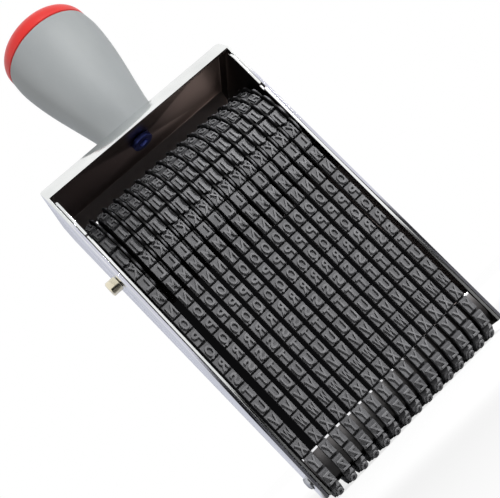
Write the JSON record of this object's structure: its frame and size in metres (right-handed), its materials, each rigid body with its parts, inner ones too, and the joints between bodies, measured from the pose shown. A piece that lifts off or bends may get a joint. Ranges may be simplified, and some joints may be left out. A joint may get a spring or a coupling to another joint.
{
  "type": "band stamp",
  "caption": "Hand stamp with endless rubber type bands on thumb wheels, set in a plated yoke with a flared grey handle and a red cap.",
  "frame": {"origin": "middle of the printing end, on the surface that the stamp stands on", "axes": "+Z from the printing end to the handle, +X across the bands, -Y the front"},
  "size_m": [0.0896, 0.0448, 0.1922],
  "materials": {
    "plated_sheet": "bright plated steel sheet",
    "steel": "turned steel",
    "bright_nut": "bright nickel, slightly warm",
    "zinc_screw": "blue zinc plated",
    "type_rubber": "matt moulded rubber",
    "black_plastic": "moulded, satin",
    "grey_plastic": "moulded, satin gloss",
    "red_plastic": "moulded, satin gloss"
  },
  "bodies": {
    "frame": {"yoke": "plated_sheet", "side_plate_left": "plated_sheet", "side_plate_right": "plated_sheet", "foot_bar": "steel", "foot_screw_left_front": "steel", "foot_screw_left_back": "steel", "foot_screw_right_front": "steel", "foot_screw_right_back": "steel", "axle": "steel", "axle_nut_left": "bright_nut", "axle_nut_right": "bright_nut", "wheel_spacer": "steel", "end_collar": "steel", "handle": "grey_plastic", "handle_cap": "red_plastic", "handle_screw": "zinc_screw", "band_01": "type_rubber", "band_02": "type_rubber", "band_03": "type_rubber", "band_04": "type_rubber", "band_05": "type_rubber", "band_06": "type_rubber", "band_07": "type_rubber", "band_08": "type_rubber", "band_09": "type_rubber", "band_10": "type_rubber", "band_11": "type_rubber", "band_12": "type_rubber", "band_13": "type_rubber", "band_14": "type_rubber", "band_15": "type_rubber"},
    "wheel_01": {"print_wheel_01": "black_plastic"},
    "wheel_02": {"print_wheel_02": "black_plastic"},
    "wheel_03": {"print_wheel_03": "black_plastic"},
    "wheel_04": {"print_wheel_04": "black_plastic"},
    "wheel_05": {"print_wheel_05": "black_plastic"},
    "wheel_06": {"print_wheel_06": "black_plastic"},
    "wheel_07": {"print_wheel_07": "black_plastic"},
    "wheel_08": {"print_wheel_08": "black_plastic"},
    "wheel_09": {"print_wheel_09": "black_plastic"},
    "wheel_10": {"print_wheel_10": "black_plastic"},
    "wheel_11": {"print_wheel_11": "black_plastic"},
    "wheel_12": {"print_wheel_12": "black_plastic"},
    "wheel_13": {"print_wheel_13": "black_plastic"},
    "wheel_14": {"print_wheel_14": "black_plastic"},
    "wheel_15": {"print_wheel_15": "black_plastic"}
  },
  "joints": [
    {"name": "wheel_01_turn", "type": "hinge", "parent": "frame", "child": "wheel_01", "pos_m": [0, 0, 0.1], "axis": [1, 0, 0], "continuous": true},
    {"name": "wheel_02_turn", "type": "hinge", "parent": "frame", "child": "wheel_02", "pos_m": [0, 0, 0.1], "axis": [1, 0, 0], "continuous": true},
    {"name": "wheel_03_turn", "type": "hinge", "parent": "frame", "child": "wheel_03", "pos_m": [0, 0, 0.1], "axis": [1, 0, 0], "continuous": true},
    {"name": "wheel_04_turn", "type": "hinge", "parent": "frame", "child": "wheel_04", "pos_m": [0, 0, 0.1], "axis": [1, 0, 0], "continuous": true},
    {"name": "wheel_05_turn", "type": "hinge", "parent": "frame", "child": "wheel_05", "pos_m": [0, 0, 0.1], "axis": [1, 0, 0], "continuous": true},
    {"name": "wheel_06_turn", "type": "hinge", "parent": "frame", "child": "wheel_06", "pos_m": [0, 0, 0.1], "axis": [1, 0, 0], "continuous": true},
    {"name": "wheel_07_turn", "type": "hinge", "parent": "frame", "child": "wheel_07", "pos_m": [0, 0, 0.1], "axis": [1, 0, 0], "continuous": true},
    {"name": "wheel_08_turn", "type": "hinge", "parent": "frame", "child": "wheel_08", "pos_m": [0, 0, 0.1], "axis": [1, 0, 0], "continuous": true},
    {"name": "wheel_09_turn", "type": "hinge", "parent": "frame", "child": "wheel_09", "pos_m": [0, 0, 0.1], "axis": [1, 0, 0], "continuous": true},
    {"name": "wheel_10_turn", "type": "hinge", "parent": "frame", "child": "wheel_10", "pos_m": [0, 0, 0.1], "axis": [1, 0, 0], "continuous": true},
    {"name": "wheel_11_turn", "type": "hinge", "parent": "frame", "child": "wheel_11", "pos_m": [0, 0, 0.1], "axis": [1, 0, 0], "continuous": true},
    {"name": "wheel_12_turn", "type": "hinge", "parent": "frame", "child": "wheel_12", "pos_m": [0, 0, 0.1], "axis": [1, 0, 0], "continuous": true},
    {"name": "wheel_13_turn", "type": "hinge", "parent": "frame", "child": "wheel_13", "pos_m": [0, 0, 0.1], "axis": [1, 0, 0], "continuous": true},
    {"name": "wheel_14_turn", "type": "hinge", "parent": "frame", "child": "wheel_14", "pos_m": [0, 0, 0.1], "axis": [1, 0, 0], "continuous": true},
    {"name": "wheel_15_turn", "type": "hinge", "parent": "frame", "child": "wheel_15", "pos_m": [0, 0, 0.1], "axis": [1, 0, 0], "continuous": true}
  ]
}
